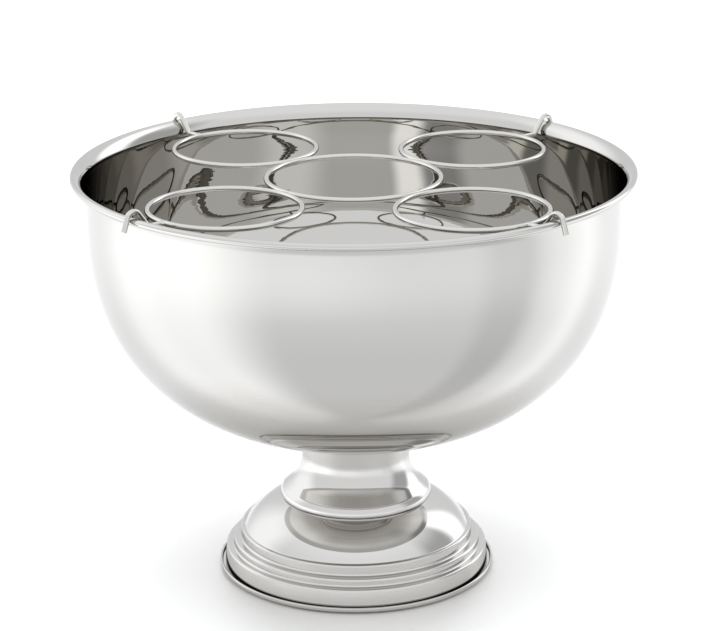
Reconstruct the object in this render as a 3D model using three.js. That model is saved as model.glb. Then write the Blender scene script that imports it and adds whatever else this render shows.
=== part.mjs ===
// Party punch bowl in mirror-polished stainless steel: a spun bowl with a rolled rim on a stem collar and
// a stepped foot, and a lift-out wire insert of five bottle rings that hangs on the rim by four hooks.
// Millimetres, +Z up. The origin is on the bowl's axis, on the surface that it stands on.

import * as THREE from 'three';

// ---- Driving dimensions: general ----
const FACE_GAP = 0.3; // between two pieces that touch
const SHEET = 1.0; // spun sheet of bowl, collar, foot and pan

// ---- Foot and its base, from the table up ----
const PAD_THICKNESS = 1.0;
const PAD_INSET = 6.8; // outer edge, inward from the foot skirt's lower edge
const PAD_WIDTH = 24;
const PAN_GROOVE = 2.0; // open groove between foot skirt and pan lip
const PAN_LIP_THICKNESS = 1.7;
const PAN_LIP_HEIGHT = 3.3;
const PAN_RECESS_RADIUS = 26; // raised centre that hides the nut
const PAN_RECESS_DEPTH = 15;
const PAN_RECESS_SLOPE_RUN = 6;
const FOOT_RADIUS = 96.8; // skirt, at its lower edge
const SKIRT_TAPER = 1.4; // how much the skirt draws in over its height
const SKIRT_HEIGHT = 13.7;
const STEP_TREADS = [5.2, 5.6]; // how far each higher step is set in
const STEP_RISES = [6.0, 8.0]; // how high each of them is
const STEP_ROUND = 2.4; // rounded edge of each step
const DOME_SHOULDER = 2.6; // flat between the top step's edge and the dome
const DOME_HEIGHT = 26.6; // from the top step to the dome's flat top
const DOME_ROUND = 55; // radius of the dome's outline

// ---- Stem collar ----
const LIP_RADIUS = 55.1;
const LIP_HEIGHT = 5.6;
const LIP_ROUND = 1.4;
const WAIST_RADIUS = 39.8;
const WAIST_ABOVE_LIP = 26.5; // from the lip's lower edge to the narrowest point
const BELL_ROUND = 16; // hollow curve below the waist
const BELL_SLOPE = THREE.MathUtils.degToRad(48); // from vertical
const NECK_TOP_RADIUS = 42.6;
const NECK_HEIGHT = 24.1; // from the waist to the bowl

// ---- Bowl ----
const BOWL_RADIUS = 190.5; // outside of the wall, where the belly begins
const BELLY_DEPTH = 170.2;
const BELLY_WIDTH_POWER = 2.406; // squareness of the belly's outline: higher is squarer
const BELLY_DEPTH_POWER = 2.471;
const WALL_HEIGHT = 14.8; // nearly straight wall above the belly
const WALL_SPREAD = 0.7; // how much that wall opens
const FLARE_ROUND = 12; // inside of the rim's outward curve
const BEAD_RADIUS = 2.5; // rolled edge
const BEAD_REACH = 9.5; // outermost point of the bead beyond the belly

// ---- Central fixing ----
const ROD_RADIUS = 4;
const HOLE_CLEARANCE = 0.5; // around the rod, in the sheets
const ROD_BELOW_NUT = 1.5;
const ROD_IN_BOSS = 5;
const BOSS_RADIUS = 20;
const BOSS_THICKNESS = 8;
const WASHER_RADIUS = 12;
const WASHER_THICKNESS = 1.6;
const LOCK_WASHER_RADIUS = 7.4;
const LOCK_WASHER_THICKNESS = 2.2;
const LOCK_WASHER_SLIT = 1.2;
const NUT_SIDES = 6;
const NUT_ACROSS_FLATS = 13;
const NUT_HEIGHT = 6.5;

// ---- Wire insert ----
const WIRE_RADIUS = 2;
const CENTER_RING_RADIUS = 61.8; // to the middle of the wire
const OUTER_RING_RADIUS = 52.5;
const RINGS_BELOW_RIM = 8.5; // middle of the ring wire below the bead's top
const HOOK_INSET = 1.0; // middle of the hook's loop, inward from the bead's middle
const HOOK_LIFT = 1.0; // and above it
const HOOK_OUTER_LEAN = THREE.MathUtils.degToRad(20); // outer leg, from vertical
const HOOK_INNER_LEAN = THREE.MathUtils.degToRad(37); // inner leg, from vertical
const HOOK_OUTER_LEG = 9.5;
const HOOK_BEND = 5; // bend between inner leg and level foot

// ---- Mesh fineness ----
const BOWL_SEGMENTS = 64;
const FOOT_SEGMENTS = 40;
const SMALL_SEGMENTS = 24;
const RING_SEGMENTS = 32;
const WIRE_SIDES = 8;
const HOOK_STEPS = 25;
const BELLY_STEPS = 11;
const DOME_STEPS = 5;
const STEP_ROUND_STEPS = 2;
const LIP_STEPS = 2;
const BELL_STEPS = 4;
const PAN_LIP_STEPS = 4;
const FLARE_INNER_STEPS = 4;
const FLARE_OUTER_STEPS = 3;
const BEAD_STEPS = 8;

// ---- Heights that follow from them ----
const panBottom = PAD_THICKNESS + FACE_GAP;
const panTop = panBottom + SHEET;
const skirtBottom = panTop + FACE_GAP;
const skirtTop = skirtBottom + SKIRT_HEIGHT;
const domeStart = skirtTop + STEP_RISES.reduce((sum, rise) => sum + rise, 0);
const footTop = domeStart + DOME_HEIGHT;

const mirrorSteel = { color: 0xd9d8d6, roughness: 0.05, metalness: 1 };
const wireSteel = { color: 0xe2e0db, roughness: 0.15, metalness: 1 };
const zincSteel = { color: 0xa9abac, roughness: 0.4, metalness: 1 };
const padRubber = { color: 0x1d1d1e, roughness: 0.9, metalness: 0 };

/** Turns an outline of [radius, height] points round the Z axis. */
function revolve(outline, segments) {
  const points = outline.map(([radius, height]) => new THREE.Vector2(radius, height));
  return new THREE.LatheGeometry(points, segments).rotateX(Math.PI / 2);
}

/** Turns an outline that closes on itself, away from the axis. */
function revolveRing(outline, segments) {
  return revolve([...outline, outline[0]], segments);
}

/** Points of an arc, both ends included. Angles are in radians from the outward direction. */
function arc(centerRadius, centerHeight, radius, from, to, steps) {
  return Array.from({ length: steps + 1 }, (_, step) => {
    const angle = from + ((to - from) * step) / steps;
    return [centerRadius + radius * Math.cos(angle), centerHeight + radius * Math.sin(angle)];
  });
}

function makeMesh(name, geometry, look) {
  const mesh = new THREE.Mesh(geometry, new THREE.MeshStandardMaterial(look));
  mesh.name = name;
  return mesh;
}

// ---------------------------------------------------------------- foot

const steps = [{ radius: FOOT_RADIUS - SKIRT_TAPER, top: skirtTop }];
STEP_TREADS.forEach((tread, index) => {
  const below = steps[index];
  steps.push({ radius: below.radius - tread, top: below.top + STEP_RISES[index] });
});
const domeEdgeRadius = steps.at(-1).radius - DOME_SHOULDER;
const domeCenterHeight = footTop - DOME_ROUND;
const domeEdgeAngle = Math.asin((domeStart - domeCenterHeight) / DOME_ROUND);
const domeCenterRadius = domeEdgeRadius - DOME_ROUND * Math.cos(domeEdgeAngle);

/** Height of the foot's outer surface at a radius on its dome. */
function domeHeight(radius) {
  const run = Math.max(radius - domeCenterRadius, 0);
  return domeCenterHeight + Math.sqrt(DOME_ROUND ** 2 - run ** 2);
}

/** Outline of the foot's sheet, moved in by a thickness: skirt, rounded steps, dome and flat top. */
function footOutline(inset) {
  const outline = [[FOOT_RADIUS - inset, skirtBottom]];
  steps.forEach(({ radius, top }, index) => {
    const round = STEP_ROUND - inset;
    const edge = arc(radius - STEP_ROUND, top - STEP_ROUND, round, 0, Math.PI / 2, STEP_ROUND_STEPS);
    const next = steps[index + 1];
    const innerCorner = next ? [[next.radius - inset, top - inset]] : [];
    outline.push(...edge, ...innerCorner);
  });
  const round = DOME_ROUND - inset;
  const dome = arc(domeCenterRadius, domeCenterHeight, round, domeEdgeAngle, Math.PI / 2, DOME_STEPS);
  outline.push(...dome, [ROD_RADIUS + HOLE_CLEARANCE, footTop - inset]);
  return outline;
}

function makeFoot() {
  const outline = [...footOutline(0), ...footOutline(SHEET).reverse()];
  return makeMesh('foot', revolveRing(outline, FOOT_SEGMENTS), mirrorSteel);
}

/** Shallow pan that closes the foot: lip turned up round the skirt, centre raised for the nut. */
function makeBasePan() {
  const lipOuter = FOOT_RADIUS + PAN_GROOVE + PAN_LIP_THICKNESS;
  const lipRound = PAN_LIP_THICKNESS / 2;
  const lipMiddle = lipOuter - lipRound;
  const lipRoundHeight = panBottom + PAN_LIP_HEIGHT - lipRound;
  const recessTop = panBottom + PAN_RECESS_DEPTH;
  const slopeFoot = PAN_RECESS_RADIUS + PAN_RECESS_SLOPE_RUN;
  const outline = [
    [slopeFoot, panBottom],
    [lipOuter - SHEET, panBottom],
    [lipOuter, panBottom + SHEET],
    ...arc(lipMiddle, lipRoundHeight, lipRound, 0, Math.PI, PAN_LIP_STEPS),
    [lipOuter - PAN_LIP_THICKNESS, panTop],
    [slopeFoot, panTop],
    [PAN_RECESS_RADIUS, recessTop + SHEET],
    [ROD_RADIUS + HOLE_CLEARANCE, recessTop + SHEET],
    [ROD_RADIUS + HOLE_CLEARANCE, recessTop],
    [PAN_RECESS_RADIUS - SHEET, recessTop],
  ];
  return makeMesh('base_pan', revolveRing(outline, FOOT_SEGMENTS), mirrorSteel);
}

function makePadRing() {
  const outer = FOOT_RADIUS - PAD_INSET;
  const inner = outer - PAD_WIDTH;
  const outline = [
    [inner, 0],
    [outer, 0],
    [outer, PAD_THICKNESS],
    [inner, PAD_THICKNESS],
  ];
  return makeMesh('pad_ring', revolveRing(outline, FOOT_SEGMENTS), padRubber);
}

// ---------------------------------------------------------------- stem collar

const lipBottom = domeHeight(LIP_RADIUS - SHEET) + FACE_GAP;
const waistHeight = lipBottom + WAIST_ABOVE_LIP;
const bowlBottom = waistHeight + NECK_HEIGHT;

/** Outline of the collar's sheet, moved in by a thickness: lip, bell, waist and neck. */
function collarOutline(inset) {
  const bellCenter = WAIST_RADIUS + BELL_ROUND;
  const bellRound = BELL_ROUND + inset;
  const bellArc = arc(bellCenter, waistHeight, bellRound, Math.PI + BELL_SLOPE, Math.PI, BELL_STEPS);
  const lipCenter = LIP_RADIUS - LIP_ROUND;
  const lipRoundHeight = lipBottom + LIP_HEIGHT - LIP_ROUND;
  const lipArc = arc(lipCenter, lipRoundHeight, LIP_ROUND - inset, 0, BELL_SLOPE, LIP_STEPS);
  return [[LIP_RADIUS - inset, lipBottom], ...lipArc, ...bellArc];
}

function makeStemCollar() {
  const neckInner = NECK_TOP_RADIUS - SHEET;
  const outer = collarOutline(0);
  const inner = collarOutline(SHEET).reverse();
  const neckTop = bellyHeight(neckInner) - FACE_GAP;
  const outline = [...outer, [NECK_TOP_RADIUS, neckTop], [neckInner, neckTop], ...inner];
  return makeMesh('stem_collar', revolveRing(outline, FOOT_SEGMENTS), mirrorSteel);
}

// ---------------------------------------------------------------- bowl

const bellyTop = bowlBottom + BELLY_DEPTH;
const flareStart = bellyTop + WALL_HEIGHT;
const wallTopRadius = BOWL_RADIUS + WALL_SPREAD;
const beadCenterRadius = BOWL_RADIUS + BEAD_REACH - BEAD_RADIUS;
const flareCenterRadius = wallTopRadius - SHEET + FLARE_ROUND;
// The bead lies inside the flare's circle and touches it, so the inside of the rim runs on over the bead.
const beadRun = flareCenterRadius - beadCenterRadius;
const beadRise = Math.sqrt((FLARE_ROUND - BEAD_RADIUS) ** 2 - beadRun ** 2);
const beadCenterHeight = flareStart + beadRise;
const rimTop = beadCenterHeight + BEAD_RADIUS;

/** Height of the belly's outer surface at a radius, which follows a superellipse. */
function bellyHeight(radius) {
  const cosine = (radius / BOWL_RADIUS) ** (BELLY_WIDTH_POWER / 2);
  return bellyTop - BELLY_DEPTH * (1 - cosine ** 2) ** (1 / BELLY_DEPTH_POWER);
}

/** Belly outline from the axis up to the wall, as a superellipse of the given radius and depth. */
function bellyOutline(radius, depth) {
  return Array.from({ length: BELLY_STEPS + 1 }, (_, step) => {
    const angle = (Math.PI / 2) * (1 - step / BELLY_STEPS);
    const across = step === 0 ? 0 : Math.cos(angle) ** (2 / BELLY_WIDTH_POWER);
    return [radius * across, bellyTop - depth * Math.sin(angle) ** (2 / BELLY_DEPTH_POWER)];
  });
}

function makeBowl() {
  const joinAngle = Math.PI - Math.atan2(beadRise, beadRun);
  const flareInner = arc(flareCenterRadius, flareStart, FLARE_ROUND, joinAngle, Math.PI, FLARE_INNER_STEPS);
  // The sheet's outer side meets the bead where its smaller circle crosses the bead's.
  const sheetRound = FLARE_ROUND - SHEET;
  const beadDistance = FLARE_ROUND - BEAD_RADIUS;
  const crossing = (beadDistance ** 2 + sheetRound ** 2 - BEAD_RADIUS ** 2) / (2 * beadDistance * sheetRound);
  const crossAngle = joinAngle + Math.acos(crossing);
  const flareOuter = arc(
    flareCenterRadius,
    flareStart,
    sheetRound,
    Math.PI,
    crossAngle,
    FLARE_OUTER_STEPS,
  );
  const [crossRadius, crossHeight] = flareOuter.at(-1);
  const crossFromBead = Math.atan2(crossHeight - beadCenterHeight, crossRadius - beadCenterRadius);
  const beadStart = crossFromBead > 0 ? crossFromBead - 2 * Math.PI : crossFromBead;
  const beadArc = arc(beadCenterRadius, beadCenterHeight, BEAD_RADIUS, beadStart, joinAngle, BEAD_STEPS);
  const bead = beadArc.slice(1, -1);
  const outline = [
    ...bellyOutline(BOWL_RADIUS, BELLY_DEPTH),
    ...flareOuter,
    ...bead,
    ...flareInner,
    ...bellyOutline(BOWL_RADIUS - SHEET, BELLY_DEPTH - SHEET).reverse(),
  ];
  return makeMesh('bowl', revolve(outline, BOWL_SEGMENTS), mirrorSteel);
}

// ---------------------------------------------------------------- central fixing

const bossTop = bowlBottom - FACE_GAP;
const bossBottom = bossTop - BOSS_THICKNESS;
const rodTop = bossBottom + ROD_IN_BOSS;
const washerTop = panBottom + PAN_RECESS_DEPTH - FACE_GAP;
const lockWasherTop = washerTop - WASHER_THICKNESS - FACE_GAP;
const nutTop = lockWasherTop - LOCK_WASHER_THICKNESS - FACE_GAP;
const nutBottom = nutTop - NUT_HEIGHT;
const boreRadius = ROD_RADIUS + FACE_GAP;

/** Disc under the bowl with a blind hole for the rod. */
function makeBoss() {
  const holeTop = rodTop + FACE_GAP;
  const outline = [
    [0, holeTop],
    [boreRadius, holeTop],
    [boreRadius, bossBottom],
    [BOSS_RADIUS, bossBottom],
    [BOSS_RADIUS, bossTop],
    [0, bossTop],
  ];
  return makeMesh('bowl_boss', revolve(outline, SMALL_SEGMENTS), zincSteel);
}

function makeRod() {
  const length = rodTop - (nutBottom - ROD_BELOW_NUT);
  const geometry = new THREE.CylinderGeometry(ROD_RADIUS, ROD_RADIUS, length, SMALL_SEGMENTS);
  const rod = makeMesh('tie_rod', geometry.rotateX(Math.PI / 2), zincSteel);
  rod.position.z = rodTop - length / 2;
  return rod;
}

function makeFlatWasher() {
  const outline = [
    [boreRadius, 0],
    [WASHER_RADIUS, 0],
    [WASHER_RADIUS, WASHER_THICKNESS],
    [boreRadius, WASHER_THICKNESS],
  ];
  const washer = makeMesh('flat_washer', revolveRing(outline, SMALL_SEGMENTS), zincSteel);
  washer.position.z = washerTop - WASHER_THICKNESS;
  return washer;
}

/** Split ring: an open C with a slit as wide as LOCK_WASHER_SLIT at its outside. */
function makeLockWasher() {
  const halfSlit = LOCK_WASHER_SLIT / 2 / LOCK_WASHER_RADIUS;
  const shape = new THREE.Shape();
  shape.absarc(0, 0, LOCK_WASHER_RADIUS, halfSlit, 2 * Math.PI - halfSlit, false);
  shape.absarc(0, 0, boreRadius, 2 * Math.PI - halfSlit, halfSlit, true);
  const options = { depth: LOCK_WASHER_THICKNESS, bevelEnabled: false, curveSegments: SMALL_SEGMENTS / 2 };
  const washer = makeMesh('lock_washer', new THREE.ExtrudeGeometry(shape, options), zincSteel);
  washer.position.z = lockWasherTop - LOCK_WASHER_THICKNESS;
  return washer;
}

function makeNut() {
  const cornerRadius = NUT_ACROSS_FLATS / 2 / Math.cos(Math.PI / NUT_SIDES);
  const corners = arc(0, 0, cornerRadius, 0, 2 * Math.PI * (1 - 1 / NUT_SIDES), NUT_SIDES - 1);
  const shape = new THREE.Shape(corners.map(([x, y]) => new THREE.Vector2(x, y)));
  shape.holes.push(new THREE.Path().absarc(0, 0, boreRadius, 0, 2 * Math.PI, true));
  const options = { depth: NUT_HEIGHT, bevelEnabled: false, curveSegments: SMALL_SEGMENTS };
  const nut = makeMesh('hex_nut', new THREE.ExtrudeGeometry(shape, options), zincSteel);
  nut.position.z = nutBottom;
  return nut;
}

// ---------------------------------------------------------------- wire insert

const ringHeight = rimTop - RINGS_BELOW_RIM;
const outerRingDistance = CENTER_RING_RADIUS + OUTER_RING_RADIUS + 2 * WIRE_RADIUS + FACE_GAP;
const QUARTERS = [
  { place: 'back_right', azimuth: Math.PI / 4 },
  { place: 'back_left', azimuth: (3 * Math.PI) / 4 },
  { place: 'front_left', azimuth: (5 * Math.PI) / 4 },
  { place: 'front_right', azimuth: (7 * Math.PI) / 4 },
];

function makeRing(name, radius) {
  const section = arc(radius, 0, WIRE_RADIUS, 0, 2 * Math.PI * (1 - 1 / WIRE_SIDES), WIRE_SIDES - 1);
  const ring = makeMesh(name, revolveRing(section, RING_SEGMENTS), wireSteel);
  ring.position.z = ringHeight;
  return ring;
}

/** A flat path of [radius, height], stood up in the plane through the bowl's axis. */
class RadialPlaneCurve extends THREE.Curve {
  constructor(path) {
    super();
    this.path = path;
  }

  getPoint(t, target = new THREE.Vector3()) {
    const point = this.path.getPoint(t);
    return target.set(point.x, 0, point.y);
  }
}

/** Middle line of a hook: level foot at the ring, inner leg, loop over the bead and outer leg. */
function hookPath() {
  const footStart = outerRingDistance + OUTER_RING_RADIUS + WIRE_RADIUS + FACE_GAP;
  const loopRadiusAt = beadCenterRadius - HOOK_INSET;
  const loopHeight = beadCenterHeight + HOOK_LIFT;
  // The outer leg's inner side rests against the bead, so the loop's radius follows from the lean.
  const shift = HOOK_INSET * Math.cos(HOOK_OUTER_LEAN) - HOOK_LIFT * Math.sin(HOOK_OUTER_LEAN);
  const loopRound = BEAD_RADIUS + WIRE_RADIUS + FACE_GAP + shift;
  const innerAngle = Math.PI - HOOK_INNER_LEAN;
  const innerTop = new THREE.Vector2(
    loopRadiusAt + loopRound * Math.cos(innerAngle),
    loopHeight + loopRound * Math.sin(innerAngle),
  );
  const cornerRadius = innerTop.x - (innerTop.y - ringHeight) * Math.tan(HOOK_INNER_LEAN);
  const bendCenter = cornerRadius - HOOK_BEND * Math.tan((Math.PI / 2 - HOOK_INNER_LEAN) / 2);
  const bendEnd = -HOOK_INNER_LEAN;
  const path = new THREE.Path();
  path.moveTo(footStart, ringHeight);
  path.lineTo(bendCenter, ringHeight);
  path.absarc(bendCenter, ringHeight + HOOK_BEND, HOOK_BEND, -Math.PI / 2, bendEnd, false);
  path.absarc(loopRadiusAt, loopHeight, loopRound, innerAngle, HOOK_OUTER_LEAN, true);
  const legEnd = path.currentPoint.clone();
  legEnd.x += HOOK_OUTER_LEG * Math.sin(HOOK_OUTER_LEAN);
  legEnd.y -= HOOK_OUTER_LEG * Math.cos(HOOK_OUTER_LEAN);
  path.lineTo(legEnd.x, legEnd.y);
  return new RadialPlaneCurve(path);
}

function makeHook(name) {
  const section = arc(0, 0, WIRE_RADIUS, 0, 2 * Math.PI * (1 - 1 / WIRE_SIDES), WIRE_SIDES - 1);
  const shape = new THREE.Shape(section.map(([x, y]) => new THREE.Vector2(x, y)));
  const options = { steps: HOOK_STEPS, bevelEnabled: false, extrudePath: hookPath() };
  return makeMesh(name, new THREE.ExtrudeGeometry(shape, options), wireSteel);
}

function makeInsert() {
  const insert = new THREE.Group();
  insert.add(makeRing('center_ring', CENTER_RING_RADIUS));
  QUARTERS.forEach(({ place, azimuth }) => {
    const quarter = new THREE.Group();
    quarter.rotation.z = azimuth;
    const ring = makeRing(`outer_ring_${place}`, OUTER_RING_RADIUS);
    ring.position.x = outerRingDistance;
    quarter.add(ring, makeHook(`rim_hook_${place}`));
    insert.add(quarter);
  });
  return insert;
}

const punchBowl = new THREE.Group();
punchBowl.add(makePadRing(), makeBasePan(), makeFoot(), makeStemCollar(), makeBowl());
punchBowl.add(makeBoss(), makeRod(), makeFlatWasher(), makeLockWasher(), makeNut());
punchBowl.add(makeInsert());

export default punchBowl;
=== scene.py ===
"""A footed party punch bowl in mirror-polished stainless steel, with a lift-out wire insert for bottles.

The bowl, the stem collar and the foot are spun sheet, drawn together by a rod and a nut in the foot. The insert
is five welded wire rings, hung on the bowl's rolled rim by four hooks. Sizes in the classes are millimetres.
Blender's own units are metres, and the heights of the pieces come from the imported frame.
"""

import logging
import math
from dataclasses import dataclass, field
from enum import Enum

import bmesh
import bpy
import numpy as np
from mathutils import Matrix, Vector
from numpy.typing import NDArray


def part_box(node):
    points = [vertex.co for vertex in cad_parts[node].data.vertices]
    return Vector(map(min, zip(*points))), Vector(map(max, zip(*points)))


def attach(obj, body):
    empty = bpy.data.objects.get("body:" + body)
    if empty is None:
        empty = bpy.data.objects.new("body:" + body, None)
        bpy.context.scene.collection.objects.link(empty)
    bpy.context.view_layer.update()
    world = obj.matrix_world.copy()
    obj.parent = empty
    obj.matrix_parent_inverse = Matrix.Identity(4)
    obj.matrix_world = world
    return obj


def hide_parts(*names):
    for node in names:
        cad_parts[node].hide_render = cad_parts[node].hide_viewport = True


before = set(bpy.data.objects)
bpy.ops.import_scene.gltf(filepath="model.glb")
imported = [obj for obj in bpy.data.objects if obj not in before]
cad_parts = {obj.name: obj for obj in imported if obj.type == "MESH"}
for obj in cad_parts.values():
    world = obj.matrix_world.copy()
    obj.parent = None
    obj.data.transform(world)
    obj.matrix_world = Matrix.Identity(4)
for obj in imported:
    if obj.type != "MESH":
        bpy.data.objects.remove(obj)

Array = NDArray[np.float64]
Corner = tuple[float, float, float]
Socket = bpy.types.NodeSocket

MM = 0.001
MATHS = "ShaderNodeMath"
SMOOTH_ANGLE = math.radians(35)
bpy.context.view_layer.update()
LOG = logging.getLogger("punch_bowl")


class Body(Enum):
    """The two bodies that the lift joint parts."""

    STAND = "stand"
    INSERT = "insert"


# ------------------------------------------------------------------------------------------ outlines


def arc(center: tuple[float, float], radius: float, start: float, end: float, count: int) -> Array:
    """Points of a circular arc: centre plus radius times (cosine, sine) of evenly spaced angles.

    Args:
        center: Radius and height of the arc's centre.
        radius: Radius of the arc.
        start: First angle in radians, from the outward direction.
        end: Last angle.
        count: Number of points, both ends included.

    Returns:
        Array of shape (count, 2).
    """
    angle = np.linspace(start, end, count)
    return np.stack([center[0] + radius * np.cos(angle), center[1] + radius * np.sin(angle)], axis=1)


def rounded(corners: list[Corner], closed: bool = True, count: int = 9) -> Array:
    """Outline through corners, each rounded by its own arc.

    The arc of a corner starts and ends at (rounding / tangent of half the corner's angle) along its two sides,
    and its points are the spherical blend of the two radii that point from its centre to those ends.

    Args:
        corners: (radius, height, rounding) of each corner.
        closed: Whether the last corner joins the first. The ends of an open outline aren't rounded.
        count: Points on each arc.

    Returns:
        Array of shape (points, 2).
    """
    table = np.array(corners, dtype=float)
    point, rounding = table[:, :2], table[:, 2]
    before = np.roll(point, 1, axis=0) - point
    after = np.roll(point, -1, axis=0) - point
    before /= np.linalg.norm(before, axis=1)[:, None]
    after /= np.linalg.norm(after, axis=1)[:, None]
    half = np.arccos(np.clip((before * after).sum(axis=1), -1, 1)) / 2
    middle = (before + after) / np.linalg.norm(before + after, axis=1)[:, None]
    center = point + middle * (rounding / np.sin(half))[:, None]
    reach = (rounding / np.tan(half))[:, None]
    size = np.where(rounding > 0, rounding, 1.0)[:, None]
    first = (point + before * reach - center) / size
    last = (point + after * reach - center) / size
    turn = np.pi - 2 * half
    share = np.linspace(0, 1, count)[None, :]
    weight_first = np.sin((1 - share) * turn[:, None]) / np.sin(turn)[:, None]
    weight_last = np.sin(share * turn[:, None]) / np.sin(turn)[:, None]
    blend = weight_first[..., None] * first[:, None] + weight_last[..., None] * last[:, None]
    curve = center[:, None] + blend * rounding[:, None, None]
    if closed:
        return curve.reshape(-1, 2)
    return np.concatenate([point[:1], curve[1:-1].reshape(-1, 2), point[-1:]])


def offset(outline: Array, distance: float) -> Array:
    """Outline moved sideways: each point goes along the mean normal of its two neighbours' chord.

    Args:
        outline: Open outline of shape (points, 2).
        distance: Distance to the left of the outline's direction.

    Returns:
        Array of the same shape.
    """
    keep = np.r_[True, np.linalg.norm(np.diff(outline, axis=0), axis=1) > 1e-6]
    line = outline[keep]
    chord = np.gradient(line, axis=0)
    chord /= np.linalg.norm(chord, axis=1)[:, None]
    return line + distance * np.stack([-chord[:, 1], chord[:, 0]], axis=1)


def sheet_outline(outer: Array, thickness: float) -> Array:
    """Closed outline of bent sheet: one side, and the same side moved in by the thickness, run backwards.

    Args:
        outer: Open outline of the outer side.
        thickness: Thickness of the sheet.

    Returns:
        Array of shape (twice the points, 2).
    """
    return np.concatenate([outer, offset(outer, thickness)[::-1]])


# ------------------------------------------------------------------------------------------ meshes


def skin(name: str, points: Array, around: bool = True) -> bpy.types.Object:
    """Mesh over a grid of sections, each a closed loop of points.

    Neighbouring points make quads. Coincident points, such as a pole on the axis, are merged after that. The UV
    map holds the share of the way along the sections, and the distance in millimetres round each loop.

    Args:
        name: Name of the object.
        points: Array of shape (sections, loop points, 3), in millimetres.
        around: Whether the last section joins the first. If not, both ends close on their middle points.

    Returns:
        The object, at the origin, with its place in its mesh.
    """
    if not around:
        ends = points[[0, -1]].mean(axis=1, keepdims=True).repeat(points.shape[1], axis=1)
        points = np.concatenate([ends[:1], points, ends[1:]])
    rows, columns = points.shape[:2]
    row = np.arange(rows if around else rows - 1)[:, None]
    column = np.arange(columns)[None, :]
    next_row, next_column = (row + 1) % rows, (column + 1) % columns
    corners = [(row, column), (next_row, column), (next_row, next_column), (row, next_column)]
    quads = np.stack([r * columns + c for r, c in corners], axis=-1).reshape(-1, 4)

    step = np.linalg.norm(np.diff(points[rows // 2], axis=0, append=points[rows // 2][:1]), axis=1)
    distance = np.r_[0.0, np.cumsum(step)]
    along = np.broadcast_to(np.stack([row, row + 1, row + 1, row], axis=-1), (len(row), columns, 4)) / rows
    across = np.stack([distance[:-1], distance[:-1], distance[1:], distance[1:]], axis=-1)[None]
    uv = np.stack([along, np.broadcast_to(across, along.shape)], axis=-1)

    mesh = bpy.data.meshes.new(name)
    mesh.from_pydata(points.reshape(-1, 3) * MM, [], quads.tolist())
    layer = mesh.uv_layers.new(name="surface")
    layer.data.foreach_set("uv", uv.astype(np.float32).ravel())
    weld(mesh)
    piece = bpy.data.objects.new(name, mesh)
    bpy.context.scene.collection.objects.link(piece)
    return piece


def weld(mesh: bpy.types.Mesh) -> None:
    """Merges doubled points, turns faces outwards, and smooths all but the real edges."""
    work = bmesh.new()
    work.from_mesh(mesh)
    bmesh.ops.remove_doubles(work, verts=work.verts, dist=1e-7)
    bmesh.ops.recalc_face_normals(work, faces=work.faces)
    work.to_mesh(mesh)
    work.free()
    mesh.shade_smooth()
    mesh.set_sharp_from_angle(angle=SMOOTH_ANGLE)


def turned(outline: Array, segments: int, center: tuple[float, float] = (0.0, 0.0)) -> Array:
    """Grid of an outline turned round a vertical axis: (radius cos a + x, radius sin a + y, height).

    Args:
        outline: Closed outline of (radius, height) points.
        segments: Number of sections round the axis.
        center: Where the axis stands.

    Returns:
        Array of shape (segments, outline points, 3).
    """
    angle = np.linspace(0, 2 * np.pi, segments, endpoint=False)[:, None]
    radius, height = outline[:, 0][None, :], outline[:, 1][None, :]
    x = center[0] + radius * np.cos(angle)
    y = center[1] + radius * np.sin(angle)
    return np.stack([x, y, np.broadcast_to(height, x.shape)], axis=-1)


def wire(path: Array, side: Array, radius: float, chamfer: float, sides: int = 32) -> Array:
    """Grid of a round wire along a flat path, square cut with a small chamfer at both ends.

    A section's points are the path's point plus (cosine times the path's in-plane normal, plus sine times the
    plane's normal) times the radius. The in-plane normal is the plane's normal crossed with the tangent.

    Args:
        path: Array of shape (points, 3), in millimetres.
        side: Normal of the plane that the path lies in.
        radius: Radius of the wire.
        chamfer: Chamfer of the cut ends.
        sides: Points round the wire.

    Returns:
        Array of shape (sections, sides, 3).
    """
    tangent = np.gradient(path, axis=0)
    tangent /= np.linalg.norm(tangent, axis=1)[:, None]
    starts = np.stack([path[0], path[0] + tangent[0] * chamfer])
    ends = np.stack([path[-1] - tangent[-1] * chamfer, path[-1]])
    line = np.concatenate([starts, path[1:-1], ends])
    direction = np.concatenate([tangent[[0, 0]], tangent[1:-1], tangent[[-1, -1]]])
    size = np.full(len(line), radius)
    size[[0, -1]] -= chamfer
    normal = np.cross(side, direction)
    angle = np.linspace(0, 2 * np.pi, sides, endpoint=False)[None, :, None]
    ring = np.cos(angle) * normal[:, None] + np.sin(angle) * side[None, None]
    return line[:, None] + ring * size[:, None, None]


def blob(center: Array, axes: Array, segments: int = 24) -> Array:
    """Grid of an ellipsoid: the centre plus the three half axes times (cos b cos a, cos b sin a, sin b).

    Args:
        center: Middle of the ellipsoid.
        axes: The three half axes, one in each row.
        segments: Sections round the third axis.

    Returns:
        Array of shape (segments, segments / 2 + 1, 3).
    """
    a = np.linspace(0, 2 * np.pi, segments, endpoint=False)[:, None]
    b = np.linspace(-np.pi / 2, np.pi / 2, segments // 2 + 1)[None, :]
    unit = np.stack([np.cos(b) * np.cos(a), np.cos(b) * np.sin(a), np.sin(b) + 0 * a], axis=-1)
    return center + unit @ axes


# ------------------------------------------------------------------------------------------ materials


def srgb(code: str) -> tuple[float, float, float, float]:
    """Linear colour of an sRGB hex value such as "DAD8D5"."""
    value = np.array([int(code[i : i + 2], 16) for i in (0, 2, 4)]) / 255
    linear = np.where(value <= 0.04045, value / 12.92, ((value + 0.055) / 1.055) ** 2.4)
    return (*(float(part) for part in linear), 1.0)


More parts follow.
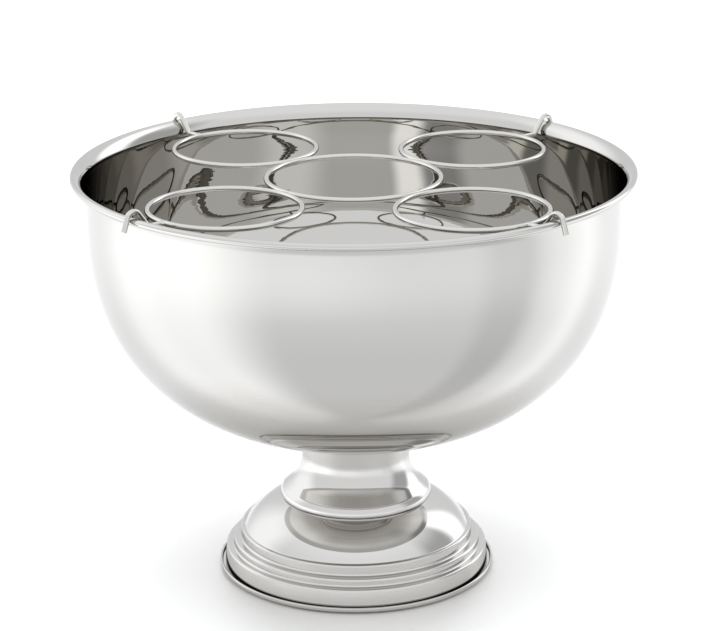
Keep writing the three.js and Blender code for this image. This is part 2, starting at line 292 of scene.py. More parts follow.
def add_node(
    tree: bpy.types.NodeTree,
    kind: str,
    settings: dict[str, object] | None = None,
    inputs: dict[str | int, object] | None = None,
) -> bpy.types.Node:
    """Adds a node, sets its properties, and sets or links its inputs.

    Args:
        tree: Node tree to add to.
        kind: Blender's type name of the node.
        settings: Property values by name.
        inputs: Input values by name or number. An output socket is linked.

    Returns:
        The new node.
    """
    node = tree.nodes.new(kind)
    for name, value in (settings or {}).items():
        setattr(node, name, value)
    for key, value in (inputs or {}).items():
        socket = node.inputs[key]
        if isinstance(value, bpy.types.NodeSocket):
            tree.links.new(value, socket)
        else:
            socket.default_value = value
    return node


def new_material(name: str) -> tuple[bpy.types.Material, bpy.types.NodeTree, bpy.types.Node]:
    """Material with its node tree and its Principled shader."""
    material = bpy.data.materials.new(name)
    material.use_nodes = True
    tree = material.node_tree
    return material, tree, tree.nodes["Principled BSDF"]


@dataclass(frozen=True)
class PolishedSteel:
    """Stainless steel, 18/8, spun or drawn and then buffed: a clear reflection, hardly coloured.

    Buffing leaves a faint haze that varies from place to place. Spinning leaves a slight waviness and very fine
    rings round the axis, which only show where they bend a reflected edge. The rings are drawn coarser than the
    tool's real marks, which would be too fine to show.
    """

    name: str
    color: str = "C6C4C0"
    edge_color: str = "E6E6E6"
    haze: tuple[float, float] = (0.002, 0.010)
    wave_size: float = 30.0
    wave_height: float = 0.022
    ring_pitch: float = 0.0
    ring_height: float = 0.0004

    def build(self) -> bpy.types.Material:
        """Makes the material."""
        material, tree, shader = new_material(self.name)
        shader.inputs["Metallic"].default_value = 1.0
        shader.inputs["Base Color"].default_value = srgb(self.color)
        shader.inputs["Specular Tint"].default_value = srgb(self.edge_color)
        place = add_node(tree, "ShaderNodeTexCoord").outputs["Object"]
        scale = 1 / (self.wave_size * MM)
        wave = add_node(tree, "ShaderNodeTexNoise", {}, {"Vector": place, "Scale": scale, "Detail": 2.5})
        cloud = add_node(tree, "ShaderNodeTexNoise", {}, {"Vector": place, "Scale": 3 * scale, "Detail": 4.0})
        limits = {"Value": cloud.outputs["Fac"], "From Min": 0.3, "From Max": 0.7}
        limits |= {"To Min": self.haze[0], "To Max": self.haze[1]}
        haze = add_node(tree, "ShaderNodeMapRange", {}, limits)
        tree.links.new(haze.outputs["Result"], shader.inputs["Roughness"])
        bump = {"Height": wave.outputs["Fac"], "Distance": self.wave_height * MM, "Strength": 1.0}
        normal = add_node(tree, "ShaderNodeBump", {}, bump).outputs["Normal"]
        if self.ring_pitch:
            uv = add_node(tree, "ShaderNodeUVMap", {"uv_map": "surface"}).outputs["UV"]
            across = add_node(tree, "ShaderNodeSeparateXYZ", {}, {"Vector": uv}).outputs["Y"]
            wanted = {"W": across, "Scale": 1 / self.ring_pitch, "Detail": 2.0}
            rings = add_node(tree, "ShaderNodeTexNoise", {"noise_dimensions": "1D"}, wanted)
            bump = {"Height": rings.outputs["Fac"], "Distance": self.ring_height * MM, "Normal": normal}
            normal = add_node(tree, "ShaderNodeBump", {}, bump).outputs["Normal"]
        tree.links.new(normal, shader.inputs["Normal"])
        return material


@dataclass(frozen=True)
class ZincPlate:
    """Bright zinc plating on mild steel fasteners: greyish, with a dull grain coarser than real crystals."""

    name: str = "zinc_plated_steel"
    color: str = "A9ABAC"
    grain: float = 0.8

    def build(self) -> bpy.types.Material:
        """Makes the material."""
        material, tree, shader = new_material(self.name)
        shader.inputs["Metallic"].default_value = 1.0
        shader.inputs["Base Color"].default_value = srgb(self.color)
        place = add_node(tree, "ShaderNodeTexCoord").outputs["Object"]
        wanted = {"Vector": place, "Scale": 1 / (self.grain * MM), "Detail": 3.0}
        grain = add_node(tree, "ShaderNodeTexNoise", {}, wanted).outputs["Fac"]
        limits = {"Value": grain, "To Min": 0.28, "To Max": 0.5}
        rough = add_node(tree, "ShaderNodeMapRange", {}, limits).outputs["Result"]
        tree.links.new(rough, shader.inputs["Roughness"])
        return material


@dataclass(frozen=True)
class PadRubber:
    """Moulded black rubber: matt, with a fine even grain that grips the table."""

    name: str = "moulded_black_rubber"
    color: str = "1D1D1E"
    grain: float = 0.6

    def build(self) -> bpy.types.Material:
        """Makes the material."""
        material, tree, shader = new_material(self.name)
        shader.inputs["Base Color"].default_value = srgb(self.color)
        shader.inputs["Roughness"].default_value = 0.85
        place = add_node(tree, "ShaderNodeTexCoord").outputs["Object"]
        wanted = {"Vector": place, "Scale": 1 / (self.grain * MM), "Detail": 2.0}
        grain = add_node(tree, "ShaderNodeTexNoise", {}, wanted).outputs["Fac"]
        bump = {"Height": grain, "Distance": 0.05 * MM}
        normal = add_node(tree, "ShaderNodeBump", {}, bump).outputs["Normal"]
        tree.links.new(normal, shader.inputs["Normal"])
        return material


@dataclass(frozen=True)
class GroovePaintedShade:
    """Near-black matt colour in the narrow groove: painted shade for the shadow in the gap, with no reflection.
    """

    name: str = "painted_shade_in_groove"
    color: str = "161514"
    grain: float = 1.2

    def build(self) -> bpy.types.Material:
        """Makes the material."""
        material, tree, shader = new_material(self.name)
        shader.inputs["Base Color"].default_value = srgb(self.color)
        shader.inputs["Specular IOR Level"].default_value = 0.2
        place = add_node(tree, "ShaderNodeTexCoord").outputs["Object"]
        wanted = {"Vector": place, "Scale": 1 / (self.grain * MM), "Detail": 3.0}
        grain = add_node(tree, "ShaderNodeTexNoise", {}, wanted).outputs["Fac"]
        limits = {"Value": grain, "To Min": 0.6, "To Max": 0.9}
        rough = add_node(tree, "ShaderNodeMapRange", {}, limits).outputs["Result"]
        tree.links.new(rough, shader.inputs["Roughness"])
        return material


@dataclass
class Finishes:
    """The materials, made once and shared."""

    bowl: bpy.types.Material
    base: bpy.types.Material
    wire: bpy.types.Material
    zinc: bpy.types.Material
    rubber: bpy.types.Material
    # Near-black painted shade for the pan's groove.
    groove: bpy.types.Material

    @classmethod
    def build(cls) -> "Finishes":
        """Makes every material."""
        return cls(
            bowl=PolishedSteel("mirror_polished_stainless_steel", ring_pitch=6.0, ring_height=0.005).build(),
            # The foot's steel colour is lighter than the bowl's: painted light, standing in for the brighter
            # light the foot mirrors.
            base=PolishedSteel(
                "mirror_polished_stainless_steel_foot",
                color="CAC8C5",
                wave_size=18.0,
                wave_height=0.02,
                ring_pitch=1.5,
            ).build(),
            wire=PolishedSteel("electropolished_stainless_wire", color="CBC9C4", haze=(0.02, 0.045)).build(),
            zinc=ZincPlate().build(),
            rubber=PadRubber().build(),
            # Near-black material that paints shade into the groove between skirt and pan lip.
            groove=GroovePaintedShade().build(),
        )


def place(
    piece: bpy.types.Object, body: Body, material: bpy.types.Material, slot: str, *nodes: str
) -> bpy.types.Object:
    """Dresses a finished piece and hands it to the frame.

    Args:
        piece: The finished piece.
        body: Body that it rides on.
        material: Its finish.
        slot: The record's material slot. Not used.
        nodes: CAD nodes that it stands for.

    Returns:
        The piece.
    """
    piece.data.materials.append(material)
    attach(piece, body.value)
    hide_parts(*nodes)
    LOG.info("%s: %d faces, rides on %s", piece.name, len(piece.data.polygons), body.value)
    return piece


def height_of(node: str, top: bool = False) -> float:
    """Height of a CAD node's lowest or highest point, in millimetres."""
    return float(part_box(node)[1 if top else 0][2]) / MM


# ------------------------------------------------------------------------------------------ bowl


@dataclass
class Bowl:
    """Spun bowl: belly, short wall, flared and rolled rim."""

    radius: float = 190.5
    belly_depth: float = 170.2
    width_power: float = 2.406
    depth_power: float = 2.471
    wall_spread: float = 0.2
    sheet: float = 1.0
    flare_round: float = 12.0
    bead_radius: float = 2.5
    bead_reach: float = 9.5
    segments: int = 288
    belly_points: int = 96

    def __post_init__(self) -> None:
        """Works out the heights that follow from the frame and the sizes."""
        self.bottom = height_of("bowl")
        self.rim_top = height_of("bowl", top=True)
        self.belly_top = self.bottom + self.belly_depth
        self.bead = (self.radius + self.bead_reach - self.bead_radius, self.rim_top - self.bead_radius)

    def belly(self, inset: float) -> Array:
        """Belly from the axis to the wall, a superellipse moved in by the inset.

        Radius is the half width times cosine to the power 2 / width power, and depth is the full depth times
        sine to the power 2 / depth power.
        """
        angle = np.linspace(np.pi / 2, 0, self.belly_points)
        across = np.clip(np.cos(angle), 0, 1) ** (2 / self.width_power)
        across[0] = 0.0
        down = np.sin(angle) ** (2 / self.depth_power)
        return np.stack(
            [(self.radius - inset) * across, self.belly_top - (self.belly_depth - inset) * down], axis=1
        )

    def rim(self) -> tuple[Array, Array]:
        """Outer and inner side of wall and flare, with the bead on the outer one.

        The wall opens as the square of the height above the belly, so that it meets belly and flare smoothly.
        The inside of the flare is a circle that touches the bead's circle from within.

        Returns:
            The outer side with the bead, from the belly up, and the inner side, from the bead down.
        """
        flare_start = self.flare_start()
        rise = flare_start - self.belly_top
        lean = math.atan(2 * self.wall_spread / rise)
        share = np.linspace(0, 1, 14)[1:]
        wall = np.stack([self.radius + self.wall_spread * share**2, self.belly_top + rise * share], axis=1)
        inner_wall = wall - [self.sheet, 0]
        center = self.flare_center(flare_start, lean)
        to_bead = np.array(self.bead) - center
        join = math.atan2(to_bead[1], to_bead[0])
        inner = arc(tuple(center), self.flare_round, join, math.pi - lean, 24)
        distance, sheet_round = self.flare_round - self.bead_radius, self.flare_round - self.sheet
        cosine = (distance**2 + sheet_round**2 - self.bead_radius**2) / (2 * distance * sheet_round)
        outer = arc(tuple(center), sheet_round, math.pi - lean, join + math.acos(cosine), 18)
        cross = outer[-1] - self.bead
        start = math.atan2(cross[1], cross[0]) % (2 * math.pi) - 2 * math.pi
        bead = arc(self.bead, self.bead_radius, start, join, 48)[1:-1]
        return np.concatenate([wall, outer[1:], bead]), np.concatenate([inner, inner_wall[-2::-1]])

    def flare_center(self, flare_start: float, lean: float) -> Array:
        """Centre of the flare's circle, square to the leaning wall at the flare's start."""
        start = np.array([self.radius + self.wall_spread - self.sheet, flare_start])
        return start + self.flare_round * np.array([math.cos(lean), -math.sin(lean)])

    def flare_start(self) -> float:
        """Height where the flare starts, found by halving steps so that its circle touches the bead's."""
        low, high = self.belly_top + 1, self.bead[1]
        for _ in range(40):
            middle = (low + high) / 2
            lean = math.atan(2 * self.wall_spread / (middle - self.belly_top))
            gap = np.linalg.norm(np.array(self.bead) - self.flare_center(middle, lean))
            if gap > self.flare_round - self.bead_radius:
                low = middle
            else:
                high = middle
        return middle

    def build(self, finishes: Finishes) -> None:
        """Makes the bowl in one piece."""
        outer, inner = self.rim()
        inside = self.belly(self.sheet)[::-1]
        outline = np.concatenate([self.belly(0), outer, inner, inside])
        piece = skin("bowl_shell", turned(outline, self.segments))
        place(piece, Body.STAND, finishes.bowl, "mirror_steel", "bowl")


# ------------------------------------------------------------------------------------------ foot


@dataclass
class Foot:
    """Stem collar, stepped foot, closing pan and pad."""

    sheet: float = 1.0
    segments: int = 256
    skirt_radius: float = 96.8
    skirt_taper: float = 1.4
    treads: tuple[float, float] = (5.2, 5.6)
    rises: tuple[float, float] = (6.0, 8.0)
    skirt_height: float = 13.7
    step_round: float = 1.8
    corner_round: float = 1.5
    shoulder_round: float = 1.3
    shoulder: float = 2.6
    dome_round: float = 55.0
    hole_radius: float = 4.5
    lip_radius: float = 55.1
    lip_undercut: float = 0.9
    lip_edge: float = 1.2
    lip_height: float = 5.7
    lip_round: float = 8.0
    neck_radius: float = 42.6
    neck_slope: float = 0.15
    bell_slope: float = math.radians(48)
    bell_round: float = 24.0
    pan_groove: float = 2.0
    pan_lip: float = 1.7
    pan_lip_height: float = 3.3
    pan_recess: float = 26.0
    pan_slope_run: float = 6.0
    pad_inner: float = 66.0
    pad_width: float = 24.0
    pad_edge: float = 0.3
    # Reach and height of the groove's painted shade.
    dark_reach: float = 8.0
    dark_height: float = 2.0

    def foot_outer(self) -> Array:
        """Outer side of the foot from the skirt's lower edge over the steps and the dome to the centre hole."""
        bottom, top = height_of("foot"), height_of("foot", top=True)
        skirt_top = bottom + self.skirt_height
        second = skirt_top + self.rises[0]
        third = second + self.rises[1]
        upper = self.skirt_radius - self.skirt_taper
        middle = upper - self.treads[0]
        inner = middle - self.treads[1]
        edge = inner - self.shoulder
        center_height = top - self.dome_round
        edge_angle = math.asin((third - center_height) / self.dome_round)
        center = (edge - self.dome_round * math.cos(edge_angle), center_height)
        # A short chord of the dome stands in for it at the corner, so that the corner can be rounded.
        corner_angle = edge_angle + math.radians(4)
        chord = arc(center, self.dome_round, corner_angle, corner_angle, 1)[0]
        steps = rounded(
            [
                (self.skirt_radius, bottom, 0),
                (upper, skirt_top, self.step_round),
                (middle, skirt_top, self.corner_round),
                (middle, second, self.step_round),
                (inner, second, self.corner_round),
                (inner, third, self.shoulder_round),
                (edge, third, self.shoulder_round),
                (float(chord[0]), float(chord[1]), 0),
            ],
            closed=False,
            count=13,
        )
        dome = arc(center, self.dome_round, corner_angle, math.pi / 2, 60)[1:]
        return np.concatenate([steps, dome, [[self.hole_radius, top]]])

    def collar_outer(self) -> Array:
        """Outer side of the collar from the lip's lower edge over bell and waist to the neck's top."""
        bottom, top = height_of("stem_collar"), height_of("stem_collar", top=True)
        lip_top = bottom + self.lip_height
        tangent = math.tan(self.bell_slope)
        # The bell's straight line meets the neck's where both give the same radius.
        rise = self.lip_radius - self.neck_radius + self.neck_slope * (top - lip_top)
        meet = lip_top + rise / (tangent + self.neck_slope)
        meet_radius = self.lip_radius - (meet - lip_top) * tangent
        corners = [
            (self.lip_radius - self.lip_undercut, bottom, 0.0),
            (self.lip_radius, bottom + self.lip_edge, self.lip_edge),
            (self.lip_radius, lip_top, self.lip_round),
            (meet_radius, meet, self.bell_round),
            (self.neck_radius, top, 0.0),
        ]
        return rounded(corners, closed=False, count=25)

    def pan_outline(self) -> Array:
        """Closed outline of the pan: raised centre, flat, and the lip turned up round the skirt."""
        bottom, top = height_of("base_pan"), height_of("base_pan", top=True)
        lip_outer = self.skirt_radius + self.pan_groove + self.pan_lip
        lip_inner = lip_outer - self.pan_lip
        lip_top = bottom + self.pan_lip_height
        slope_foot = self.pan_recess + self.pan_slope_run
        corners = [
            (slope_foot, bottom, 1.5),
            (lip_outer, bottom, 1.1),
            (lip_outer, lip_top, 0.8),
            (lip_inner, lip_top, 0.8),
            (lip_inner, bottom + self.sheet, 0.3),
            (slope_foot, bottom + self.sheet, 1.0),
            (self.pan_recess, top, 2.0),
            (self.hole_radius, top, 0.2),
            (self.hole_radius, top - self.sheet, 0.2),
            (self.pan_recess - self.sheet, top - self.sheet, 1.5),
        ]
        return rounded(corners)

    def pad_outline(self) -> Array:
        """Closed outline of the flat pad ring, with softened edges."""
        outer, top = self.pad_inner + self.pad_width, height_of("pad_ring", top=True)
        corners = [(self.pad_inner, 0), (outer, 0), (outer, top), (self.pad_inner, top)]
        return rounded([(*corner, self.pad_edge) for corner in corners])

    def paint_shade_in_groove(self, pan: bpy.types.Object, material: bpy.types.Material) -> None:
        """Gives the groove's bottom and the lip's inner side a near-black colour: painted shade for the gap's
        shadow.

        Args:
            pan: The pan, already dressed.
            material: Near-black material of the painted shade.
        """
        pan.data.materials.append(material)
        count = len(pan.data.polygons)
        middle = np.empty(count * 3)
        pan.data.polygons.foreach_get("center", middle)
        x, y, height = middle.reshape(-1, 3).T / MM
        radius = np.hypot(x, y)
        low = height_of("base_pan") + self.sheet / 2
        lip = self.skirt_radius + self.pan_groove + 0.3  # a little into the lip's inner side
        groove = (radius > self.skirt_radius - self.dark_reach) & (radius < lip)
        groove &= (height > low) & (height < low + self.dark_height)
        pan.data.polygons.foreach_set("material_index", groove.astype(np.int32))
        pan.data.update()

    def build(self, finishes: Finishes) -> None:
        """Makes the foot's four pieces."""
        shapes = {
            "foot_shell": (sheet_outline(self.foot_outer(), self.sheet), "foot"),
            "stem_collar_shell": (sheet_outline(self.collar_outer(), self.sheet), "stem_collar"),
            "closing_pan": (self.pan_outline(), "base_pan"),
        }
        for name, (outline, node) in shapes.items():
            piece = skin(name, turned(outline, self.segments))
            place(piece, Body.STAND, finishes.base, "mirror_steel", node)
            # The pan's groove gets the near-black material: painted shade.
            if node == "base_pan":
                self.paint_shade_in_groove(piece, finishes.groove)
        pad = skin("non_slip_pad", turned(self.pad_outline(), self.segments))
        place(pad, Body.STAND, finishes.rubber, "pad_rubber", "pad_ring")


# ------------------------------------------------------------------------------------------ fixing


@dataclass
class Fixing:
    """Rod, boss, washers and nut that draw bowl, collar and foot together."""

    rod_radius: float = 4.0
    bore_radius: float = 4.3
    thread_pitch: float = 1.25
    thread_depth: float = 0.65
    boss_radius: float = 20.0
    washer_radius: float = 12.0
    lock_radius: float = 7.4
    slit: float = 1.2
    across_flats: float = 13.0
    chamfer_start: float = 0.96
    bore_lead: float = 0.5
    segments: int = 72

    def rod(self) -> Array:
        """Grid of the threaded rod: radius less depth times a triangle wave of (height / pitch - turn)."""
        low, high = height_of("tie_rod"), height_of("tie_rod", top=True)
        height = np.arange(low, high, self.thread_pitch / 8)
        angle = np.linspace(0, 2 * np.pi, 32, endpoint=False)
        phase = (height[:, None] / self.thread_pitch - angle[None, :] / (2 * np.pi)) % 1.0
        groove = 1 - np.abs(2 * phase - 1)
        run_out = np.clip(np.minimum(height - low, high - height) / self.thread_pitch, 0, 1)[:, None]
        radius = self.rod_radius - self.thread_depth * (groove * run_out + (1 - run_out))
        x, y = radius * np.cos(angle), radius * np.sin(angle)
        return np.stack([x, y, np.broadcast_to(height[:, None], x.shape)], axis=-1)

    def nut(self) -> Array:
        """Grid of the nut: radius is half the flats over the cosine of the angle from the nearest flat.

        The corners are turned down by a 30 degree cone that starts just inside the flats.
        """
        low, high = height_of("hex_nut"), height_of("hex_nut", top=True)
        flat = self.across_flats / 2
        angle = np.linspace(0, 2 * np.pi, self.segments, endpoint=False)
        hexagon = flat / np.cos((angle + math.pi / 3) % (math.pi / 3) - math.pi / 6)
        face = np.full_like(angle, flat * self.chamfer_start)
        drop = (hexagon - face) * math.tan(math.radians(30))
        bore, lead = np.full_like(angle, self.bore_radius), self.bore_lead
        one = np.ones_like(angle)
        radius = np.stack([bore + lead, face, hexagon, hexagon, face, bore + lead, bore, bore], axis=1)
        height = np.stack(
            [low * one, low * one, low + drop, high - drop, high * one, high * one, one * (high - lead)]
            + [one * (low + lead)],
            axis=1,
        )
        x, y = radius * np.cos(angle)[:, None], radius * np.sin(angle)[:, None]
        return np.stack([x, y, height], axis=-1)

    def ring_outline(self, node: str, radius: float, edge: float) -> Array:
        """Closed outline of a washer as thick as its node."""
        low, high = height_of(node), height_of(node, top=True)
        corners = [(self.bore_radius, low), (radius, low), (radius, high), (self.bore_radius, high)]
        return rounded([(*corner, edge) for corner in corners], count=4)

    def lock_washer(self) -> Array:
        """Grid of the split washer: its outline turned from one side of the slit to the other."""
        outline = self.ring_outline("lock_washer", self.lock_radius, 0.15)
        half = self.slit / 2 / self.lock_radius
        angle = np.linspace(half, 2 * np.pi - half, self.segments)[:, None]
        x, y = outline[:, 0] * np.cos(angle), outline[:, 0] * np.sin(angle)
        return np.stack([x, y, np.broadcast_to(outline[:, 1], x.shape)], axis=-1)

    def boss_outline(self) -> Array:
        """Closed outline of the boss with its blind hole."""
        low, high = height_of("bowl_boss"), height_of("bowl_boss", top=True)
        hole_top = height_of("tie_rod", top=True) + 0.3
        corners = [
            (0, hole_top, 0),
            (self.bore_radius, hole_top, 0.3),
            (self.bore_radius, low, 0.4),
            (self.boss_radius, low, 0.8),
            (self.boss_radius, high, 0.5),
            (0, high, 0),
        ]
        return rounded(corners, closed=False, count=4)

    def build(self, finishes: Finishes) -> None:
        """Makes the five pieces."""
        washer = turned(self.ring_outline("flat_washer", self.washer_radius, 0.2), self.segments)
        grids = {
            "boss_disc": (turned(self.boss_outline(), self.segments), True, "bowl_boss"),
            "threaded_rod": (self.rod(), False, "tie_rod"),
            "plain_washer": (washer, True, "flat_washer"),
            "split_washer": (self.lock_washer(), False, "lock_washer"),
            "hexagon_nut": (self.nut(), True, "hex_nut"),
        }
        for name, (grid, around, node) in grids.items():
            place(skin(name, grid, around), Body.STAND, finishes.zinc, "fixing_steel", node)


# ------------------------------------------------------------------------------------------ insert


@dataclass
class WireInsert:
    """Five bottle rings and four hooks of one round wire, welded where they meet."""

    bowl: Bowl
    wire_radius: float = 2.0
    gap: float = 0.3
    center_radius: float = 61.8
    outer_radius: float = 52.5
    hook_inset: float = 1.0
    hook_lift: float = 1.0
    outer_lean: float = math.radians(20)
    inner_lean: float = math.radians(37)
    outer_leg: float = 9.5
    bend: float = 5.0
    chamfer: float = 0.25
    ring_weld: tuple[float, float, float] = (1.7, 6.0, 1.5)
    hook_weld: tuple[float, float, float] = (2.0, 2.9, 2.15)
    segments: int = 192
    quarters: dict[str, float] = field(
        default_factory=lambda: {
            "back_right": math.radians(45),
            "back_left": math.radians(135),
            "front_left": math.radians(225),
            "front_right": math.radians(315),
        }
    )

    def __post_init__(self) -> None:
        """Works out where the rings lie."""
        self.height = height_of("center_ring") + self.wire_radius
        self.distance = self.center_radius + self.outer_radius + 2 * self.wire_radius + self.gap

    def ring(self, name: str, radius: float, center: tuple[float, float]) -> bpy.types.Object:
        """Closed wire ring round a point."""
        section = arc((radius, self.height), self.wire_radius, 0, 2 * np.pi, 33)[:-1]
        return skin(name, turned(section, self.segments, center))

    def hook_path(self) -> Array:
        """Middle line of a hook as (radius, height) points, from its foot at the ring to its free end."""
        foot = self.distance + self.outer_radius + self.wire_radius
        loop = (self.bowl.bead[0] - self.hook_inset, self.bowl.bead[1] + self.hook_lift)
        shift = self.hook_inset * math.cos(self.outer_lean) - self.hook_lift * math.sin(self.outer_lean)
        loop_round = self.bowl.bead_radius + self.wire_radius + self.gap + shift
        inner_angle = math.pi - self.inner_lean
        crest = arc(loop, loop_round, inner_angle, self.outer_lean, 40)
        corner = crest[0, 0] - (crest[0, 1] - self.height) * math.tan(self.inner_lean)
        bend_radius = corner - self.bend * math.tan((math.pi / 2 - self.inner_lean) / 2)
        bend = arc((bend_radius, self.height + self.bend), self.bend, -math.pi / 2, -self.inner_lean, 16)
        direction = np.array([math.sin(self.outer_lean), -math.cos(self.outer_lean)])
        level = np.linspace([foot, self.height], bend[0], 6)[:-1]
        inner_leg = np.linspace(bend[-1], crest[0], 8)[1:-1]
        outer_leg = crest[-1] + np.linspace(0, self.outer_leg, 8)[1:, None] * direction
        return np.concatenate([level, bend, inner_leg, crest, outer_leg])

    def hook(self, name: str, azimuth: float) -> bpy.types.Object:
        """Hook stood up in the radial plane at an azimuth."""
        flat = self.hook_path()
        outward = np.array([math.cos(azimuth), math.sin(azimuth), 0.0])
        side = np.array([-math.sin(azimuth), math.cos(azimuth), 0.0])
        path = flat[:, :1] * outward + flat[:, 1:] * np.array([0.0, 0.0, 1.0])
        return skin(name, wire(path, side, self.wire_radius, self.chamfer), around=False)

    def welds(self, azimuth: float) -> list[Array]:
        """Grids of the two weld beads on one diagonal: ring to ring, and ring to hook.

        Each is an ellipsoid in the groove between the wires, longest along the rings.
        """
        outward = np.array([math.cos(azimuth), math.sin(azimuth), 0.0])
        along = np.array([-math.sin(azimuth), math.cos(azimuth), 0.0])
        up = np.array([0.0, 0.0, 1.0])
        axes = np.stack([outward, along, up])
        inner = self.center_radius + self.wire_radius + self.gap / 2
        outer = self.distance + self.outer_radius + self.wire_radius
        between = blob(outward * inner + up * self.height, axes * np.array(self.ring_weld)[:, None])
        at_hook = blob(outward * outer + up * self.height, axes * np.array(self.hook_weld)[:, None])
        return [between, at_hook]

    def build(self, finishes: Finishes) -> None:
        """Makes rings, hooks and welds."""
        center = self.ring("wire_ring_center", self.center_radius, (0.0, 0.0))
        place(center, Body.INSERT, finishes.wire, "wire_steel", "center_ring")
        for quarter, azimuth in self.quarters.items():
            middle = (self.distance * math.cos(azimuth), self.distance * math.sin(azimuth))
            ring = self.ring(f"wire_ring_{quarter}", self.outer_radius, middle)
            place(ring, Body.INSERT, finishes.wire, "wire_steel", f"outer_ring_{quarter}")
            hook = self.hook(f"wire_hook_{quarter}", azimuth)
            place(hook, Body.INSERT, finishes.wire, "wire_steel", f"rim_hook_{quarter}")
            for joint, grid in zip(("ring", "hook"), self.welds(azimuth)):
                bead = skin(f"weld_{joint}_{quarter}", grid)
                place(bead, Body.INSERT, finishes.wire, "wire_steel")


# ------------------------------------------------------------------------------------------ studio


@dataclass(frozen=True)
class Panel:
    """A soft-edged patch of light far away, as steel mirrors it. Angles are degrees, azimuth from the camera.

    A white panel has a positive strength. A black one, which takes light away, has a negative one.
    """

    azimuth: float
    half_width: float
    side_blur: float
    elevation: float
    half_height: float
    end_blur: float
    strength: float

    def add_to(self, tree: bpy.types.NodeTree, azimuth: Socket, elevation: Socket, total: Socket) -> Socket:
        """Adds strength x smoothstep of the distance from the middle, in each of the two directions.

        Args:
            tree: Node tree of the world.
            azimuth: Azimuth of the looked-up direction in degrees.
            elevation: Its elevation in degrees.
            total: Light of the panels so far.

        Returns:
            The new total.
        """
        turned_away = add_node(tree, MATHS, {"operation": "SUBTRACT"}, {0: azimuth, 1: self.azimuth}).outputs[0]
        round_circle = {0: turned_away, 1: 180.0, 2: -180.0}
        wrapped = add_node(tree, MATHS, {"operation": "WRAP"}, round_circle).outputs[0]
        across = smooth_window(tree, wrapped, self.half_width, self.side_blur)
        raised = add_node(tree, MATHS, {"operation": "SUBTRACT"}, {0: elevation, 1: self.elevation}).outputs[0]
        upward = smooth_window(tree, raised, self.half_height, self.end_blur)
        patch = add_node(tree, MATHS, {"operation": "MULTIPLY"}, {0: across, 1: upward}).outputs[0]
        added = {0: patch, 1: self.strength, 2: total}
        return add_node(tree, MATHS, {"operation": "MULTIPLY_ADD"}, added).outputs[0]


def smooth_window(tree: bpy.types.NodeTree, value: Socket, half: float, blur: float) -> Socket:
    """Window of a value: 1 within (half - blur) of zero, 0 beyond (half + blur), a smoothstep between.

    Args:
        tree: Node tree to add to.
        value: Value to judge.
        half: Half the width of the window, to the middle of its soft edge.
        blur: Half the width of the soft edge.

    Returns:
        The window's share, 0 to 1.
    """
    size = add_node(tree, MATHS, {"operation": "ABSOLUTE"}, {0: value}).outputs[0]
    limits = {"Value": size, "From Min": half - blur, "From Max": half + blur, "To Min": 1.0, "To Max": 0.0}
    kind = {"interpolation_type": "SMOOTHSTEP"}
    return add_node(tree, "ShaderNodeMapRange", kind, limits).outputs["Result"]


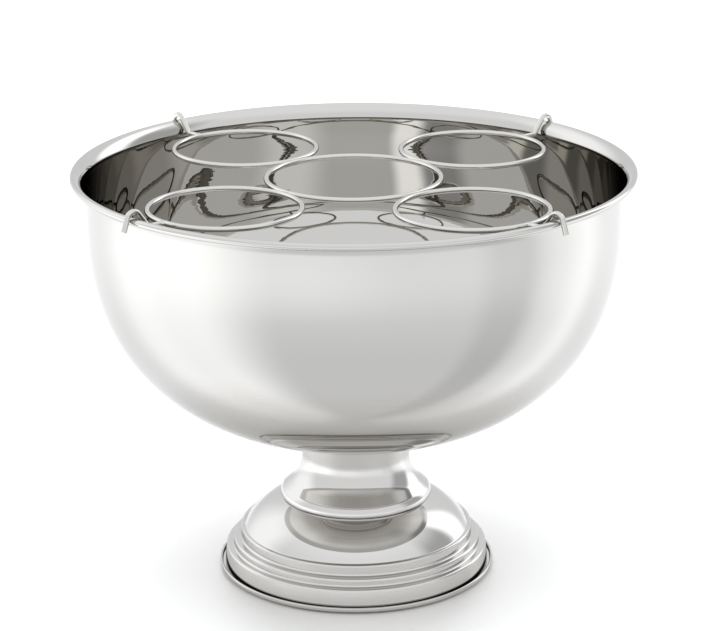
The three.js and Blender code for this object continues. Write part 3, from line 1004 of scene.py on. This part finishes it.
@dataclass
class Studio:
    """Pale floor, soft light from all round and the camera. Lengths are millimetres."""

    floor_radius: float = 300.0
    floor_fade: float = 210.0
    floor_color: str = "F5F3F0"
    azimuth: float = math.radians(2.56)
    pitch: float = math.radians(17.7353)
    roll: float = math.radians(-0.3993)
    distance: float = 1762.0
    eye_height: float = 752.7
    lens: float = 128.93
    shift_x: float = 0.006
    light_color: str = "FAFCFF"
    surround: float = 1.10
    ambient: float = 0.65
    backdrop: float = 1.4
    panels: tuple[Panel, ...] = (
        # White table beyond the floor disc: brightest where it meets the walls, and at both sides and behind.
        Panel(0, 180.1, 0.1, -12, 10, 9, 0.20),
        Panel(0, 180.1, 0.1, -62, 28, 14, -0.12),
        Panel(-28, 30, 25, -14, 10, 9, 0.15),
        Panel(-84, 30, 22, -45, 40, 5, 0.64),
        Panel(180, 75, 15, -45, 40, 5, 0.40),
        Panel(104, 18, 10, -45, 40, 5, 0.30),
        Panel(69, 12, 8, -45, 40, 5, -0.15),
        # White ceiling, softbox at the left, strip light behind at the right, black panel at the right.
        Panel(0, 180.1, 0.1, 75, 34, 16, 0.15),
        Panel(-122, 24, 16, 20, 24, 16, 0.50),
        Panel(130, 12, 6, 24, 22, 12, 1.20),
        Panel(98, 19, 10, 16, 26, 16, -0.50),
    )
    matt_panels: tuple[Panel, ...] = (
        # Low light from both sides and more from behind, which reaches the floor under the bowl.
        Panel(-95, 40, 20, 12, 20, 8, 2.2),
        Panel(105, 40, 20, 12, 20, 8, 2.2),
        Panel(180, 20, 10, 12, 20, 8, 8.5),
    )

    def floor(self) -> None:
        """White disc whose edge fades into the backdrop."""
        angle = np.linspace(0, 2 * np.pi, 128, endpoint=False)
        rim = self.floor_radius * MM * np.stack([np.cos(angle), np.sin(angle), 0 * angle], axis=1)
        mesh = bpy.data.meshes.new("studio_floor")
        mesh.from_pydata(rim, [], [list(range(len(rim)))])
        floor = bpy.data.objects.new("studio_floor", mesh)
        bpy.context.scene.collection.objects.link(floor)
        material, tree, shader = new_material("studio_white")
        shader.inputs["Base Color"].default_value = srgb(self.floor_color)
        shader.inputs["Roughness"].default_value = 0.35
        place = add_node(tree, "ShaderNodeTexCoord").outputs["Object"]
        radius = add_node(tree, "ShaderNodeVectorMath", {"operation": "LENGTH"}, {0: place}).outputs["Value"]
        middle = self.floor_radius - self.floor_fade / 2
        solid = smooth_window(tree, radius, middle * MM, self.floor_fade / 2 * MM)
        tree.links.new(solid, shader.inputs["Alpha"])
        mesh.materials.append(material)

    def light(self) -> None:
        """World light: panels for what steel mirrors, low panels for matt surfaces, white for the camera."""
        world = bpy.data.worlds.new("studio_light")
        bpy.context.scene.world = world
        world.use_nodes = True
        tree = world.node_tree
        tree.nodes.clear()
        direction = add_node(tree, "ShaderNodeTexCoord").outputs["Generated"]
        axes = add_node(tree, "ShaderNodeSeparateXYZ", {}, {"Vector": direction}).outputs
        toward = add_node(tree, MATHS, {"operation": "MULTIPLY"}, {0: axes["Y"], 1: -1.0}).outputs[0]
        turn = add_node(tree, MATHS, {"operation": "ARCTAN2"}, {0: axes["X"], 1: toward}).outputs[0]
        around = add_node(tree, MATHS, {"operation": "DEGREES"}, {0: turn}).outputs[0]
        from_camera = {0: around, 1: math.degrees(self.azimuth)}
        azimuth = add_node(tree, MATHS, {"operation": "SUBTRACT"}, from_camera).outputs[0]
        rise = add_node(tree, MATHS, {"operation": "ARCSINE"}, {0: axes["Z"]}).outputs[0]
        elevation = add_node(tree, MATHS, {"operation": "DEGREES"}, {0: rise}).outputs[0]
        mirrored = add_node(tree, MATHS, {"operation": "ADD"}, {0: self.surround, 1: 0.0}).outputs[0]
        for panel in self.panels:
            mirrored = panel.add_to(tree, azimuth, elevation, mirrored)
        matt = add_node(tree, MATHS, {"operation": "ADD"}, {0: self.ambient, 1: 0.0}).outputs[0]
        for panel in self.matt_panels:
            matt = panel.add_to(tree, azimuth, elevation, matt)
        rays = add_node(tree, "ShaderNodeLightPath").outputs
        even = add_node(tree, "ShaderNodeMix", {}, {0: rays["Is Diffuse Ray"], 2: mirrored, 3: matt})
        seen = {0: rays["Is Camera Ray"], 2: even.outputs[0], 3: self.backdrop}
        power = add_node(tree, "ShaderNodeMix", {}, seen).outputs[0]
        tone = {"Color": srgb(self.light_color), "Strength": power}
        back = add_node(tree, "ShaderNodeBackground", {}, tone)
        add_node(tree, "ShaderNodeOutputWorld", {}, {"Surface": back.outputs["Background"]})

    def camera(self) -> None:
        """Camera at the viewing angle, turned about its own axis by the roll last."""
        data = bpy.data.cameras.new("studio_camera")
        data.lens = self.lens
        data.sensor_width = 36.0
        data.shift_x = self.shift_x
        camera = bpy.data.objects.new("studio_camera", data)
        x = self.distance * math.sin(self.azimuth)
        y = -self.distance * math.cos(self.azimuth)
        camera.location = (x * MM, y * MM, self.eye_height * MM)
        turn = Matrix.Rotation(self.azimuth, 3, "Z")
        tilt = Matrix.Rotation(math.pi / 2 - self.pitch, 3, "X")
        camera.rotation_euler = (turn @ tilt @ Matrix.Rotation(self.roll, 3, "Z")).to_euler()
        bpy.context.scene.collection.objects.link(camera)
        bpy.context.scene.camera = camera

    def build(self) -> None:
        """Makes floor, light and camera."""
        scene = bpy.context.scene
        scene.view_settings.view_transform = "Standard"
        # The bowl's inside mirrors itself many times over.
        scene.cycles.glossy_bounces = 12
        scene.cycles.min_light_bounces = 8
        self.floor()
        self.light()
        self.camera()


def main() -> None:
    """Builds the studio, the materials and the sub-assemblies."""
    logging.basicConfig(level=logging.INFO, format="%(name)s: %(message)s")
    Studio().build()
    finishes = Finishes.build()
    bowl = Bowl()
    bowl.build(finishes)
    Foot().build(finishes)
    Fixing().build(finishes)
    WireInsert(bowl).build(finishes)


if __name__ == "__main__":
    main()
